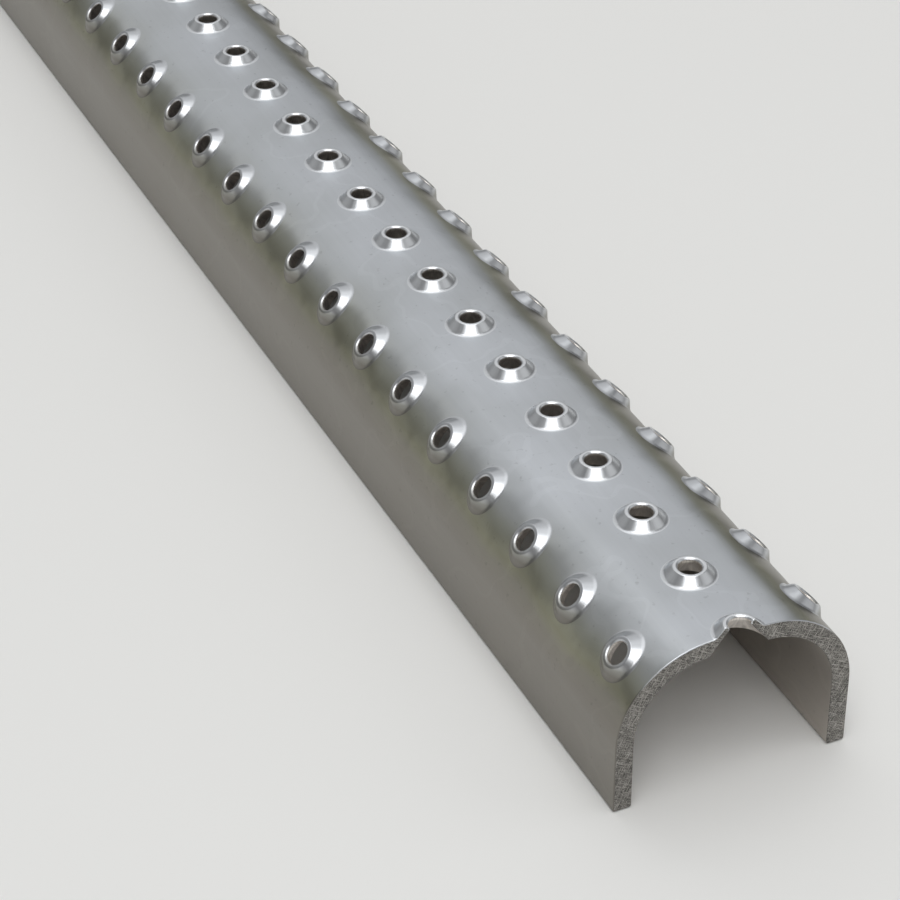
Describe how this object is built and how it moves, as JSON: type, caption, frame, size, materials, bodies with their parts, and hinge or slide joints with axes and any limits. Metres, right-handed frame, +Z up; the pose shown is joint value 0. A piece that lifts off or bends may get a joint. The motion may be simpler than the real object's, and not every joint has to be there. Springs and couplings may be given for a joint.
{
  "type": "anti-slip rung channel",
  "caption": "U-shaped rung channel folded from one thick sheet, with an arched crown, straight legs and staggered rows of raised, pierced grip buttons.",
  "frame": {"origin": "middle of the rung's length and width, on the plane of the two leg edges that it stands on", "axes": "+X along the rung, +Y across it, +Z up from the leg edges to the crown with the grip buttons"},
  "size_m": [0.4604, 0.0412, 0.0301],
  "materials": {
    "mill_aluminium": "mill-finish rolled sheet, satin, with brighter worked metal on the grip buttons and saw-cut ends"
  },
  "bodies": {
    "root": {"rung_channel": "mill_aluminium"}
  },
  "joints": []
}
